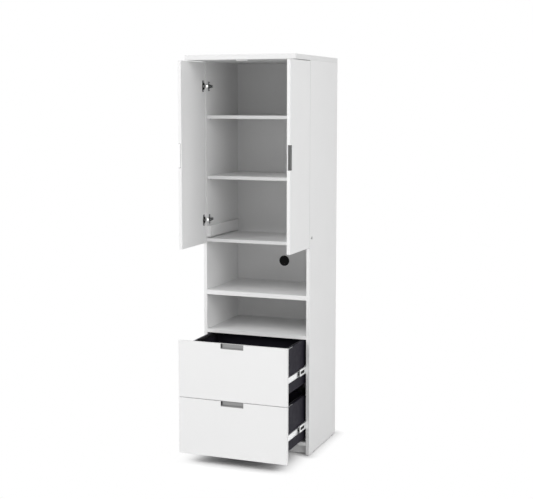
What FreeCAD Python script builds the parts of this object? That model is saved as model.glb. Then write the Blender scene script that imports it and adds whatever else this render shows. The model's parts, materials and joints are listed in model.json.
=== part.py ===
import FreeCAD
import Part
import math
import os

V = FreeCAD.Vector

# Tall storage armoire in white laminated board. Millimetres, +Z up, the front looks along -Y.
# The origin is at floor level, in the middle of the space that the armoire takes as it stands open.

# boards
board = 18.0
carcass_width = 610.0
carcass_depth = 460.0
top_thickness = 26.0
top_overhang = 229.0
edge_bevel = 1.0

# clear heights between the boards, from the floor up
glide_height = 5.0
plinth_height = 50.0
drawer_bay_height = 562.0
lower_niche_height = 193.0
niche_shelf_thickness = 24.0
upper_niche_height = 266.0
lower_compartment_height = 322.0
middle_compartment_height = 307.0
upper_compartment_height = 286.0

# doors and drawer fronts
front_gap = 2.5
reveal = 1.5
door_top_gap = 4.0
door_bottom_lap = 7.0
meeting_gap = 3.0
drawer_front_drop = 4.0
drawer_front_rise = 1.0
door_opening_angle = 90.0
drawer_opening = 315.0

# pivot line of the hinges, from the door's hinge edge and from its outer face
pivot_from_edge = 5.5
pivot_from_face = 8.5

# finger pulls: bent aluminium in a recess that opens to the outer face and to the free edge
pull_length = 126.0
pull_depth = 27.0
pull_backing = 5.0
pull_sheet = 2.0
pull_lip = 5.0
pull_bend = 1.5
pull_setback = 1.0

# concealed hinges
hinge_from_door_end = 127.0
cup_radius = 17.5
cup_depth = 12.5
cup_wall = 0.8
cup_from_edge = 22.5
flange_thickness = 1.0
flange_end = 6.0
flange_width = 22.0
flange_offset = 6.0
flange_rim = 1.5
flange_corner = 6.0
cup_screw_spacing = 48.0
arm_half_width = 6.5
arm_back = 68.0
arm_top = 32.0
arm_wall = 1.4
arm_slope = 4.0
arm_slot_radius = 2.4
arm_slot_step = 16.0
link_clearance = 0.9
link_low = 1.6
link_reach = 9.0
link_rise = 3.0
link_top = 9.0
link_pin_radius = 1.5
nose_reach = 13.2
nose_clearance = 1.7
plate_thickness = 2.2
plate_line = 37.0
plate_wing_end = 9.5
plate_wing_width = 13.0
plate_wing_corner = 4.3
plate_ridge = 7.2
plate_ridge_gap = 0.6
plate_bolt_radius = 1.9
plate_spine_front = 22.0
plate_spine_back = 72.0
plate_spine_height = 12.0
plate_screw_spacing = 32.0
small_screw_radius = 3.4
small_screw_head = 1.6
small_screw_shank = 1.5
small_screw_length = 10.0

# adjustable shelves and their pins
shelf_recess = 12.0
shelf_side_gap = 1.0
shelf_back_gap = 4.0
pin_radius = 2.5
pin_in = 9.0
pin_out = 8.0
pin_collar_radius = 4.0
pin_collar = 1.5
pin_from_front = 50.0
pin_from_back = 60.0

# pull-out shelf, its side runners and the cleats over it
runner_gap = 10.0
runner_height = 17.0
runner_length = 300.0
runner_sheet = 1.0
runner_setback = 22.0
lip_side_gap = 1.0
pull_out_depth = 398.0
cleat_gap = 8.0
cleat_height = 60.0
cleat_length = 400.0
cleat_setback = 12.0

# bolt holes that join the armoire to a neighbour
joining_radius = 6.0
joining_from_front = 33.0
joining_above_cleat = 15.0

# drawer boxes
box_length = 400.0
box_height = 234.0
box_board = 13.0
box_rise = 42.0
box_bottom = 6.0
box_bottom_rise = 10.0
groove_depth = 6.0
rail_sheet = 1.2
rail_skirt = 20.0
rail_upstand = 8.0
rail_reach = 9.0
rail_end_gap = 2.0

# telescopic drawer slides
slide_length = 390.0
slide_gap = 12.7
slide_setback = 2.0
slide_rise = 76.0
slide_sheet = 1.2
slide_clearance = 0.4
slide_outer_height = 45.0
slide_middle_height = 37.0
slide_inner_height = 30.0
slide_outer_depth = 10.5
slide_bend = 0.8
middle_member_length = 300.0
middle_member_reach = 91.0
window_setback = 11.0
window_length = 60.0
window_height = 16.0

# plinth, glides, cable outlet, catch
plinth_recess = 30.0
glide_radius = 8.5
glide_from_front = 95.0
glide_from_back = 50.0
outlet_above_shelf = 117.0
outlet_radius = 27.0
outlet_bore_radius = 25.0
outlet_flange_radius = 30.0
outlet_flange = 2.0
outlet_cap = 2.5
outlet_cap_gap = 0.2
outlet_slot_width = 16.0
outlet_slot_depth = 10.0
catch_length = 62.0
catch_width = 16.0
catch_height = 7.0
catch_from_front_edge = 37.0
catch_corner = 4.0
catch_magnet_length = 18.0
catch_magnet_width = 3.5
catch_magnet_recess = 1.0

# fittings that hold the boards together
cam_radius = 7.5
cam_sides = 8
cam_depth = 12.5
cam_inset = 24.0
cam_from_front = 60.0
cam_from_back = 70.0
bolt_radius = 3.0
bolt_in_side = 10.0
dowel_radius = 4.0
dowel_length = 30.0
dowel_in_side = 10.0
dowel_from_front = 140.0
dowel_from_back = 150.0

# how near two places, or two directions, are when they count as one
touching = 1e-6
parallel = 0.999

# places that follow from the sizes
half = carcass_width / 2
inner_half = half - board
door_thickness = board
front_reach = drawer_opening + front_gap + board
front_y = (front_reach - carcass_depth) / 2
back_y = front_y + carcass_depth
inner_back_y = back_y - board
top_front_y = front_y - top_overhang

base_z = glide_height
bottom_z = base_z + plinth_height
bay_z = bottom_z + board
bay_shelf_z = bay_z + drawer_bay_height
bay_shelf_top = bay_shelf_z + board
niche_shelf_z = bay_shelf_top + lower_niche_height
niche_shelf_top = niche_shelf_z + niche_shelf_thickness
pull_out_z = niche_shelf_top + upper_niche_height
pull_out_top = pull_out_z + board
lower_shelf_z = pull_out_top + lower_compartment_height
lower_shelf_top = lower_shelf_z + board
upper_shelf_z = lower_shelf_top + middle_compartment_height
upper_shelf_top = upper_shelf_z + board
side_top = upper_shelf_top + upper_compartment_height

door_z = pull_out_z - door_bottom_lap
door_top = side_top - door_top_gap
door_edge_x = -half + reveal
door_free_x = -meeting_gap / 2
pull_reach = board - pull_backing
door_inner_y = front_y - front_gap
door_outer_y = door_inner_y - door_thickness
pivot_x = door_edge_x + pivot_from_edge
pivot_y = door_outer_y + pivot_from_face
hinge_heights = (door_z + hinge_from_door_end, door_top - hinge_from_door_end)

fronts_z = bottom_z - drawer_front_drop
fronts_top = bay_shelf_top + drawer_front_rise
drawer_front_height = (fronts_top - fronts_z - meeting_gap) / 2
drawer_levels = {
    "lower": fronts_z,
    "upper": fronts_z + drawer_front_height + meeting_gap,
}
box_half = inner_half - slide_gap

cleat_z = pull_out_top + cleat_gap
joining_y = front_y + joining_from_front
joining_z = cleat_z + joining_above_cleat
outlet_z = niche_shelf_top + outlet_above_shelf

parts = {}


def box(x0, x1, y0, y1, z0, z1):
    return Part.makeBox(x1 - x0, y1 - y0, z1 - z0, V(x0, y0, z0))


def eased(shape):
    """The board with every edge eased."""
    return shape.makeChamfer(edge_bevel, shape.Edges)


def rod(radius, start, direction, length):
    return Part.makeCylinder(radius, length, start, direction)


def faceted(radius, start, direction, length, sides=6):
    """A small round fitting, or its hole, drawn with flat sides."""
    turn = FreeCAD.Rotation(direction, 360 / sides)
    across = V(direction.z, direction.x, direction.y)
    across = FreeCAD.Rotation(direction, 180 / sides).multVec(across)
    corners = []
    for _ in range(sides):
        corners.append(start + across * radius)
        across = turn.multVec(across)
    return prism(corners, direction * length)


def mirrored(shape):
    """The same piece on the other side of the armoire."""
    return shape.mirror(V(0, 0, 0), V(1, 0, 0))


def both(shape):
    return [shape, mirrored(shape)]


def group(shapes):
    return Part.makeCompound(shapes)


def prism(points, along):
    """A closed outline carried straight along a vector."""
    corners = [V(p) for p in points]
    return Part.Face(Part.makePolygon(corners + corners[:1])).extrude(along)


def edges_along(shape, direction):
    """The straight edges that run the given way."""
    found = []
    for edge in shape.Edges:
        run = edge.Vertexes[-1].Point - edge.Vertexes[0].Point
        if run.Length > 0 and abs(run.normalize().dot(direction)) > parallel:
            found.append(edge)
    return found


def add(name, shape):
    solids = shape.Solids
    parts[name] = solids[0] if len(solids) == 1 else group(solids)


# ---- fittings between the fixed boards and the sides ----

fixed_boards = (
    (bottom_z, board),
    (bay_shelf_z, board),
    (niche_shelf_z, niche_shelf_thickness),
)
cam_flat = cam_radius * math.cos(math.pi / cam_sides)
cam_rows = (front_y + cam_from_front, back_y - cam_from_back)
dowel_rows = (front_y + dowel_from_front, back_y - dowel_from_back)


def cams_and_bolts():
    """Cams let into the undersides and into the sides' top ends, each with its bolt."""
    shapes = []
    cam_x = -inner_half + cam_inset
    bolt = cam_inset - cam_flat + bolt_in_side
    for z, thickness in fixed_boards:
        for y in cam_rows:
            shapes.append(faceted(cam_radius, V(cam_x, y, z), V(0, 0, 1), cam_depth, cam_sides))
            start = V(-inner_half - bolt_in_side, y, z + cam_depth / 2)
            shapes.append(faceted(bolt_radius, start, V(1, 0, 0), bolt))
    for y in cam_rows:
        z = side_top - cam_inset
        shapes.append(faceted(cam_radius, V(-inner_half, y, z), V(-1, 0, 0), cam_depth, cam_sides))
        start = V(-inner_half - cam_depth / 2, y, z + cam_flat)
        shapes.append(faceted(bolt_radius, start, V(0, 0, 1), bolt))
    return group(shapes + [mirrored(s) for s in shapes])


def dowels():
    shapes = []
    for z, thickness in fixed_boards:
        for y in dowel_rows:
            start = V(-inner_half - dowel_in_side, y, z + thickness / 2)
            shapes.append(faceted(dowel_radius, start, V(1, 0, 0), dowel_length))
    for y in dowel_rows:
        z = side_top + dowel_in_side - dowel_length
        start = V(-half + board / 2, y, z)
        shapes.append(faceted(dowel_radius, start, V(0, 0, 1), dowel_length))
    return group(shapes + [mirrored(s) for s in shapes])


cam_set = cams_and_bolts()
dowel_set = dowels()


# ---- adjustable shelves ----

pin_seat = pin_radius
pin_rows = (front_y + pin_from_front, inner_back_y - pin_from_back)
shelf_levels = {"lower_shelf": lower_shelf_z, "upper_shelf": upper_shelf_z}


def pin_holes():
    holes = []
    for z in shelf_levels.values():
        for y in pin_rows:
            start = V(-inner_half, y, z - pin_seat)
            holes.append(faceted(pin_radius, start, V(-1, 0, 0), pin_in))
    return holes


def shelf_pins():
    pins = []
    for z in shelf_levels.values():
        for y in pin_rows:
            shank_start = V(-inner_half - pin_in, y, z - pin_seat)
            shank = faceted(pin_radius, shank_start, V(1, 0, 0), pin_in + pin_out)
            collar = faceted(pin_collar_radius, V(-inner_half, y, z - pin_seat), V(1, 0, 0), pin_collar, 8)
            pins.append(shank.fuse(collar).common(box(-half, 0, y - board, y + board, 0, z)))
    return group(pins + [mirrored(p) for p in pins])


def adjustable_shelf(z):
    x = inner_half - shelf_side_gap
    return eased(box(-x, x, front_y + shelf_recess, inner_back_y - shelf_back_gap, z, z + board))


# ---- carcass ----

def joining_hole():
    start = V(-half, joining_y, joining_z)
    return rod(joining_radius, start, V(1, 0, 0), 2 * board)


def side_panel():
    panel = box(-half, -inner_half, front_y, back_y, base_z, side_top)
    return panel.cut([cam_set, dowel_set, joining_hole()] + pin_holes())


def top_panel():
    panel = eased(box(-half, half, top_front_y, back_y, side_top, side_top + top_thickness))
    return panel.cut([cam_set, dowel_set])


def fixed_shelf(z, thickness):
    shelf = box(-inner_half, inner_half, front_y, inner_back_y, z, z + thickness)
    return shelf.cut([cam_set, dowel_set])


def back_panel():
    panel = box(-inner_half, inner_half, inner_back_y, back_y, base_z, side_top)
    return panel.cut(rod(outlet_radius, V(0, inner_back_y, outlet_z), V(0, 1, 0), board))


def plinth():
    y = front_y + plinth_recess
    return box(-inner_half, inner_half, y, y + board, base_z, bottom_z)


def glides():
    shapes = []
    for y in (front_y + glide_from_front, back_y - glide_from_back):
        shapes.append(faceted(glide_radius, V(-half + board / 2, y, 0), V(0, 0, 1), glide_height, 16))
    return group(shapes + [mirrored(s) for s in shapes])


def cleat():
    y = front_y + cleat_setback
    strip = box(-inner_half, -inner_half + board, y, y + cleat_length, cleat_z, cleat_z + cleat_height)
    return strip.cut(joining_hole())


def outlet_ring():
    """Flanged sleeve that lines the hole in the back."""
    face = inner_back_y - outlet_flange
    ring = rod(outlet_flange_radius, V(0, face, outlet_z), V(0, 1, 0), outlet_flange)
    ring = ring.fuse(rod(outlet_radius, V(0, face, outlet_z), V(0, 1, 0), outlet_flange + board))
    bore = rod(outlet_bore_radius, V(0, face, outlet_z), V(0, 1, 0), outlet_flange + board)
    return ring.cut(bore).removeSplitter()


def outlet_cap_disc():
    """Lid inside the sleeve, with a slot at its rim for the cables."""
    face = V(0, inner_back_y - outlet_flange, outlet_z)
    disc = rod(outlet_bore_radius - outlet_cap_gap, face, V(0, 1, 0), outlet_cap)
    x = outlet_slot_width / 2
    floor = outlet_z - outlet_bore_radius
    slot = box(-x, x, face.y, face.y + outlet_cap, floor, floor + outlet_slot_depth)
    return disc.cut(slot)


def catch():
    """Magnetic catch under the overhang: a flat case with two magnet faces."""
    y = top_front_y + catch_from_front_edge
    x = catch_length / 2
    low = side_top - catch_height
    case = box(-x, x, y - catch_width / 2, y + catch_width / 2, low, side_top)
    case = case.makeChamfer(catch_corner, edges_along(case, V(0, 0, 1)))
    half_long = catch_magnet_length / 2
    half_wide = catch_magnet_width / 2
    pockets = []
    for middle in (-x / 2, x / 2):
        pockets.append(box(
            middle - half_long, middle + half_long, y - half_wide, y + half_wide,
            low, low + catch_magnet_recess,
        ))
    return case.cut(pockets)


# ---- folded sheet sections ----

def channel(x, side, height, depth, sheet, lip, y0, length, z):
    """A C channel along Y: its web stands at x and it opens towards side (+1 or -1)."""
    h = height / 2
    d = side * depth
    s = side * sheet
    outline = [
        (0, -h), (d, -h), (d, -h + lip), (d - s, -h + lip), (d - s, -h + sheet), (s, -h + sheet),
        (s, h - sheet), (d - s, h - sheet), (d - s, h - lip), (d, h - lip), (d, h), (0, h),
    ]
    points = [(x + px, y0, z + pz) for px, pz in outline]
    return prism(points, V(0, length, 0))


def bent_channel(*sizes):
    shape = channel(*sizes)
    outer = [e for e in edges_along(shape, V(0, 1, 0)) if is_outer_bend(e, shape.BoundBox)]
    return shape.makeChamfer(slide_bend, outer)


def is_outer_bend(edge, bounds):
    """True for the long edges at the section's own corners."""
    end = edge.Vertexes[0].Point
    at_side = min(abs(end.x - bounds.XMin), abs(end.x - bounds.XMax)) < touching
    at_end = min(abs(end.z - bounds.ZMin), abs(end.z - bounds.ZMax)) < touching
    return at_side and at_end


# ---- drawer slides: three nested channels on each side ----

outer_lip = (slide_outer_height - slide_middle_height) / 2 - slide_clearance
middle_lip = (slide_middle_height - slide_inner_height) / 2 - slide_clearance
middle_x = -inner_half + slide_sheet + slide_clearance
inner_web_x = -inner_half + slide_gap
middle_depth = slide_gap - 2 * slide_sheet - 2 * slide_clearance
inner_depth = slide_gap - 2 * slide_sheet - 3 * slide_clearance
slide_y = front_y + slide_setback


def slide_height(level):
    return level + box_rise + slide_rise


def cabinet_members(z):
    member = bent_channel(
        -inner_half, 1, slide_outer_height, slide_outer_depth, slide_sheet, outer_lip,
        slide_y, slide_length, z,
    )
    return group(both(member))


def middle_members(z):
    """The short travelling members, each with a window in its web near the front end."""
    y = front_y - middle_member_reach
    member = bent_channel(
        middle_x, 1, slide_middle_height, middle_depth, slide_sheet, middle_lip, y, middle_member_length, z
    )
    window = box(
        middle_x, middle_x + slide_sheet,
        y + window_setback, y + window_setback + window_length, z - window_height / 2, z + window_height / 2,
    )
    return group(both(member.cut(window)))


def drawer_members(z):
    member = bent_channel(
        inner_web_x, -1, slide_inner_height, inner_depth, slide_sheet, slide_sheet,
        slide_y - drawer_opening, slide_length, z,
    )
    return group(both(member))


# ---- pull-out shelf ----

runner_inner_height = runner_height - 4 * runner_sheet - slide_clearance
runner_depth = runner_gap - runner_sheet - slide_clearance
runner_lip = (runner_height - runner_inner_height) / 2 - slide_clearance
runner_y = front_y + runner_setback
runner_z = pull_out_z + board / 2


def runner_cabinet_members():
    member = channel(
        -inner_half, 1, runner_height, runner_depth, runner_sheet, runner_lip,
        runner_y, runner_length, runner_z,
    )
    return group(both(member))


def runner_shelf_members():
    member = channel(
        -inner_half + runner_gap, -1, runner_inner_height, runner_depth, runner_sheet, runner_sheet,
        runner_y, runner_length, runner_z,
    )
    return group(both(member))


def pull_out_board():
    x = inner_half - runner_gap
    return box(-x, x, front_y + board, front_y + pull_out_depth, pull_out_z, pull_out_top)


def pull_out_lip():
    """Front strip, wide enough to hide the runners."""
    x = inner_half - lip_side_gap
    return eased(box(-x, x, front_y, front_y + board, pull_out_z, pull_out_top))


# ---- finger pulls ----

def pull_outline():
    """Section of a pull: (distance from the recess's end, distance from the outer face)."""
    t = pull_sheet
    top = pull_depth - pull_setback
    return [
        (0, 0), (pull_lip, 0), (pull_lip, t), (t, t),
        (t, pull_reach - t), (top, pull_reach - t), (top, pull_reach), (0, pull_reach),
    ]


def pull_section(to_point, along):
    """The folded section, with its two outer bends rounded."""
    shape = prism([to_point(a, b) for a, b in pull_outline()], along)
    corners = [V(*to_point(0, 0)), V(*to_point(0, pull_reach))]
    bends = []
    for edge in edges_along(shape, along.normalize()):
        for corner in corners:
            if edge.distToShape(Part.Vertex(corner))[0] < touching:
                bends.append(edge)
    return shape.makeFillet(pull_bend, bends)


# ---- doors, made shut on the left and then swung open ----

def swung(shape):
    """Turns a shut left-hand piece about the pivot line to where the door stands open."""
    turned = shape.copy()
    turned.rotate(V(pivot_x, pivot_y, 0), V(0, 0, 1), -door_opening_angle)
    return turned


def door_panel():
    panel = eased(box(door_edge_x, door_free_x, door_outer_y, door_inner_y, door_z, door_top))
    middle = (door_z + door_top) / 2
    cuts = door_screws()
    cuts.append(box(
        door_free_x - pull_depth, door_free_x, door_outer_y, door_outer_y + pull_reach,
        middle - pull_length / 2, middle + pull_length / 2,
    ))
    for z in hinge_heights:
        cuts.append(rod(cup_radius, V(door_edge_x + cup_from_edge, door_inner_y, z), V(0, -1, 0), cup_depth))
    return panel.cut(cuts)


def door_pull():
    middle = (door_z + door_top) / 2

    def to_point(a, b):
        return (door_free_x - pull_depth + a, door_outer_y + b, middle - pull_length / 2)

    return pull_section(to_point, V(0, 0, pull_length))


def screw(point, direction):
    """The head stands on its plate, and the shank goes through it into the board."""
    head = faceted(small_screw_radius, point, direction, small_screw_head, 8)
    shank = faceted(small_screw_shank, point, direction * -1, small_screw_length)
    return head.fuse(shank)


def door_screws():
    x = door_edge_x + cup_from_edge + flange_offset
    y = door_inner_y + flange_thickness
    screws = []
    for z in hinge_heights:
        for side in (-1, 1):
            screws.append(screw(V(x, y, z + side * cup_screw_spacing / 2), V(0, 1, 0)))
    return screws


def hinge_cup(z):
    """Pressed cup with its flange: a dish in the door and a plate on its face."""
    x = door_edge_x + cup_from_edge
    y = door_inner_y
    out = V(0, 1, 0)
    dish = rod(cup_radius, V(x, y - cup_depth, z), out, cup_depth)
    hollow = rod(cup_radius - cup_wall, V(x, y - cup_depth + cup_wall, z), out, cup_depth + flange_thickness)
    wing_x = x + flange_offset
    wing_half = cup_screw_spacing / 2 + flange_end
    wing = box(
        wing_x - flange_width / 2, wing_x + flange_width / 2, y, y + flange_thickness,
        z - wing_half, z + wing_half,
    )
    wing = wing.makeChamfer(flange_corner, edges_along(wing, out))
    rim = rod(cup_radius + flange_rim, V(x, y, z), out, flange_thickness)
    return dish.fuse([wing, rim]).cut([hollow] + door_screws())


def hinge_link(z):
    """Folded pair of links that lies in the cup beside the pivot line, with its pin."""
    near = link_clearance
    middle = link_reach / 2
    outline = [
        (near, -link_low), (link_reach, -link_low), (link_reach, link_rise),
        (middle, link_top), (near, link_top),
    ]
    pieces = []
    for side in (-1, 1):
        low = z + side * arm_half_width / 2 - cup_wall
        points = [(pivot_x + u, pivot_y + v, low) for u, v in outline]
        pieces.append(prism(points, V(0, 0, 2 * cup_wall)))
    pin_start = V(pivot_x + middle, pivot_y + link_rise, z - arm_half_width)
    pin = faceted(link_pin_radius, pin_start, V(0, 0, 1), 2 * arm_half_width)
    return pin.fuse(pieces)


def hinge_arm(z):
    """Bridge over the mounting plate with a bent nose that dips into the cup when the door is shut."""
    low_x = -inner_half + plate_thickness
    top_x = -half + arm_top
    nose_x = pivot_x + door_inner_y - pivot_y + nose_clearance
    nose_y = front_y - nose_reach
    end_y = front_y + arm_back
    outline = [
        (low_x, end_y), (top_x - arm_slope, end_y), (top_x, end_y - 2 * arm_slope),
        (top_x, front_y + arm_slope), (top_x - arm_slope, nose_y + arm_slope),
        (top_x - 2 * arm_slope, nose_y), (nose_x, nose_y),
        (nose_x, nose_y + 2 * arm_slope), (low_x, front_y + arm_slope),
    ]
    body = prism([(x, y, z - arm_half_width) for x, y in outline], V(0, 0, 2 * arm_half_width))
    inner = arm_half_width - arm_wall
    hollow = box(low_x, top_x - arm_wall, front_y + plate_spine_front, end_y, z - inner, z + inner)
    slot = faceted(arm_slot_radius, V(low_x, front_y + plate_line + arm_slot_step, z), V(1, 0, 0), arm_top)
    return body.cut([hollow, slot])


def hinge_plate(z):
    """Cross-shaped mounting plate with a raised ridge for the arm and an adjusting screw."""
    x0 = -inner_half
    y = front_y + plate_line
    wing_half = plate_screw_spacing / 2 + plate_wing_end
    wing = box(
        x0, x0 + plate_thickness, y - plate_wing_width / 2, y + plate_wing_width / 2,
        z - wing_half, z + wing_half,
    )
    wing = wing.makeChamfer(plate_wing_corner, edges_along(wing, V(1, 0, 0)))
    spine = box(
        x0, x0 + plate_thickness, front_y + plate_spine_front, front_y + plate_spine_back,
        z - plate_spine_height / 2, z + plate_spine_height / 2,
    )
    ridge_half = arm_half_width - arm_wall - plate_ridge_gap
    ridge = box(
        x0, x0 + plate_ridge, front_y + plate_spine_front + arm_slope, front_y + arm_back - arm_slope,
        z - ridge_half, z + ridge_half,
    )
    bolt_length = arm_top - board - plate_ridge_gap
    bolt = faceted(plate_bolt_radius, V(x0, y + arm_slot_step, z), V(1, 0, 0), bolt_length)
    return wing.fuse([spine, ridge, bolt]).removeSplitter()


def plate_screws():
    x = -inner_half + plate_thickness
    y = front_y + plate_line
    screws = []
    for z in hinge_heights:
        for side in (-1, 1):
            screws.append(screw(V(x, y, z + side * plate_screw_spacing / 2), V(1, 0, 0)))
    return screws


# ---- drawers, made where they stand open ----

drawer_front_y = door_outer_y - drawer_opening
drawer_back_face_y = drawer_front_y + board


def drawer_front(level):
    x = half - reveal
    y = drawer_front_y
    top = level + drawer_front_height
    panel = eased(box(-x, x, y, drawer_back_face_y, level, top))
    return panel.cut(box(-pull_length / 2, pull_length / 2, y, y + pull_reach, top - pull_depth, top))


def drawer_pull(level):
    floor = level + drawer_front_height - pull_depth

    def to_point(a, b):
        return (-pull_length / 2, drawer_front_y + b, floor + a)

    return pull_section(to_point, V(pull_length, 0, 0))


def drawer_bottom(level):
    x = box_half - box_board + groove_depth
    z = level + box_rise + box_bottom_rise
    y0 = drawer_back_face_y + box_board - groove_depth
    y1 = drawer_back_face_y + box_length - box_board + groove_depth
    return box(-x, x, y0, y1, z, z + box_bottom)


def drawer_side(level):
    z = level + box_rise
    y = drawer_back_face_y
    side = box(-box_half, -box_half + box_board, y, y + box_length, z, z + box_height)
    return side.cut(drawer_bottom(level))


def drawer_end(level, y):
    x = box_half - box_board
    z = level + box_rise
    return box(-x, x, y, y + box_board, z, z + box_height).cut(drawer_bottom(level))


def file_rails(level):
    """A folded rail inside the top of each side: a skirt, a ledge, and an upstand for hanging folders."""
    top = level + box_rise + box_height
    ledge = top - rail_upstand
    low = top - rail_skirt
    x0 = -box_half + box_board
    x1 = x0 + rail_reach
    t = rail_sheet
    outline = [
        (x0, low), (x0 + t, low), (x0 + t, ledge - t), (x1, ledge - t),
        (x1, top), (x1 - t, top), (x1 - t, ledge), (x0, ledge),
    ]
    y = drawer_back_face_y + box_board + rail_end_gap
    length = box_length - 2 * box_board - 2 * rail_end_gap
    return group(both(prism([(x, y, z) for x, z in outline], V(0, length, 0))))


def make_drawer(name, level):
    add(name + "_drawer_front", drawer_front(level))
    add(name + "_drawer_pull", drawer_pull(level))
    side = drawer_side(level)
    add(name + "_box_left_side", side)
    add(name + "_box_right_side", mirrored(side))
    add(name + "_box_front", drawer_end(level, drawer_back_face_y))
    add(name + "_box_back", drawer_end(level, drawer_back_face_y + box_length - box_board))
    add(name + "_box_bottom", drawer_bottom(level))
    add(name + "_file_rails", file_rails(level))
    z = slide_height(level)
    add(name + "_slide_drawer_members", drawer_members(z))
    add(name + "_slide_middle_members", middle_members(z))
    add(name + "_slide_cabinet_members", cabinet_members(z))


def make_doors():
    left_pieces = {
        "door_panel": door_panel(),
        "door_pull": door_pull(),
        "hinge_cups": group([hinge_cup(z) for z in hinge_heights]),
        "hinge_links": group([hinge_link(z) for z in hinge_heights]),
        "hinge_screws": group(door_screws()),
    }
    for piece, shape in left_pieces.items():
        opened = swung(shape)
        add("left_" + piece, opened)
        add("right_" + piece, mirrored(opened))
    arms = group([hinge_arm(z) for z in hinge_heights])
    add("left_hinge_arms", arms)
    add("right_hinge_arms", mirrored(arms))
    screws = group(plate_screws())
    plates = group([hinge_plate(z) for z in hinge_heights]).cut(screws)
    add("hinge_plates", group(both(plates)))
    return screws


def make_carcass(screws):
    side = side_panel().cut(screws)
    add("left_side_panel", side)
    add("right_side_panel", mirrored(side))
    add("top_panel", top_panel())
    add("back_panel", back_panel())
    add("bottom_panel", fixed_shelf(bottom_z, board))
    add("drawer_bay_shelf", fixed_shelf(bay_shelf_z, board))
    add("niche_shelf", fixed_shelf(niche_shelf_z, niche_shelf_thickness))
    add("plinth", plinth())
    for name, z in shelf_levels.items():
        add(name, adjustable_shelf(z))
    add("shelf_pins", shelf_pins())
    add("left_cleat", cleat())
    add("right_cleat", mirrored(cleat()))
    add("glides", glides())
    add("cable_outlet_ring", outlet_ring())
    add("cable_outlet_cap", outlet_cap_disc())
    add("magnetic_catch", catch())
    add("cams_and_bolts", cam_set)
    add("dowels", dowel_set)
    add("plate_screws", group(both(screws)))


def make_pull_out_shelf():
    add("pull_out_shelf", pull_out_board())
    add("pull_out_shelf_lip", pull_out_lip())
    add("shelf_runner_cabinet_members", runner_cabinet_members())
    add("shelf_runner_shelf_members", runner_shelf_members())


make_carcass(make_doors())
make_pull_out_shelf()
for drawer_name, drawer_level in drawer_levels.items():
    make_drawer(drawer_name, drawer_level)

os.makedirs("parts", exist_ok=True)
for node, solid in parts.items():
    solid.exportStep(os.path.join("parts", node + ".step"))
print(len(parts), "nodes written")
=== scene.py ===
import json
import math
import bpy
import numpy as np
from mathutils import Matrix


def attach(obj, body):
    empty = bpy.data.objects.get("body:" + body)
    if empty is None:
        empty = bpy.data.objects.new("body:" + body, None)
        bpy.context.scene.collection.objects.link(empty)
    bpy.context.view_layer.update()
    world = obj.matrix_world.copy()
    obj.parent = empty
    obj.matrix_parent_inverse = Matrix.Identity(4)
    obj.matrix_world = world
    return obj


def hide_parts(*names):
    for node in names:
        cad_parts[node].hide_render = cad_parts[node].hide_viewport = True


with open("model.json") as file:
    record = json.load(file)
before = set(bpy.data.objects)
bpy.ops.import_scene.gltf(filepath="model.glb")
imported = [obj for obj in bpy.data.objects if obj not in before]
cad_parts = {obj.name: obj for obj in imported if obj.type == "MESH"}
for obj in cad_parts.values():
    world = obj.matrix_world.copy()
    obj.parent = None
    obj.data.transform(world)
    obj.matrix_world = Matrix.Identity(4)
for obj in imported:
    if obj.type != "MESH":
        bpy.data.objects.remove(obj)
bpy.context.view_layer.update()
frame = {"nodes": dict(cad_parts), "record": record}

nodes = frame["nodes"]
mm = 0.001
print("frame loaded:", len(nodes), "nodes")

cameraSettings = {
    "place": (2.2207, -5.6480, 1.8903),   # metres
    "turn": 0.3689,                       # to the left of straight ahead, radians
    "tilt": 0.1129,                       # downwards, radians
    "lens": 76.41,
    "sensorWidth": 36.0,
    "shiftY": -0.036,
    "farthest": 200.0,
}

lampSettings = {
    # name: place, aim, watts; each lamp is a square soft box
    "leftLamp": ((-4.2, -6.0, 6.2), (0.0, -0.1, 1.0), 262.0),
    "leftSideLamp": ((-7.0, -3.4, 4.4), (0.0, -0.1, 1.0), 235.0),
    "rightLamp": ((5.6, -3.0, 2.8), (0.2, 0.0, 0.3), 169.0),
    "frontLamp": ((4.2, -6.0, 5.4), (0.0, -0.1, 1.0), 60.0),
}
lampSide = 4.4
worldStrength = 0.465

floorSettings = {
    "size": 60.0,
    "colour": 0.80,                       # what the floor gives back to the armoire
    "seen": 1.03,                         # how bright it looks straight to the camera
    # the floor shows its shadows in two zones, under the drawers and under the carcass, and fades to plain
    # white round each. A zone is its middle, half size and fading distance, each across and in depth
    "zones": (
        ((0.0, -0.20), (0.18, 0.14), (0.16, 0.42)),
        ((0.0, 0.17), (0.29, 0.22), (0.08, 0.08)),
    ),
}


def makeCamera(settings):
    data = bpy.data.cameras.new("camera")
    data.lens = settings["lens"]
    data.sensor_width = settings["sensorWidth"]
    data.shift_y = settings["shiftY"]
    data.clip_end = settings["farthest"]
    cam = bpy.data.objects.new("camera", data)
    cam.location = settings["place"]
    cam.rotation_euler = (math.pi / 2 - settings["tilt"], 0.0, settings["turn"])
    bpy.context.scene.collection.objects.link(cam)
    bpy.context.scene.camera = cam


# a lamp shines down its own -Z, so its +Z is turned to point away from the target
def aim(lamp, target):
    away = np.subtract(lamp.location, target)
    flat = math.hypot(away[0], away[1])
    lamp.rotation_euler = (math.atan2(flat, away[2]), 0.0, math.atan2(away[0], -away[1]))


def makeLamps(lamps, side):
    for name, (place, target, watts) in lamps.items():
        data = bpy.data.lights.new(name, "AREA")
        data.size = side
        data.energy = watts
        lamp = bpy.data.objects.new(name, data)
        lamp.location = place
        aim(lamp, target)
        bpy.context.scene.collection.objects.link(lamp)


def mathNode(tree, operation, a, b=None):
    node = tree.nodes.new("ShaderNodeMath")
    node.operation = operation
    for socket, value in zip(node.inputs, (a, b)):
        if isinstance(value, (int, float)):
            socket.default_value = value
        elif value is not None:
            tree.links.new(value, socket)
    return node.outputs[0]


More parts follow.
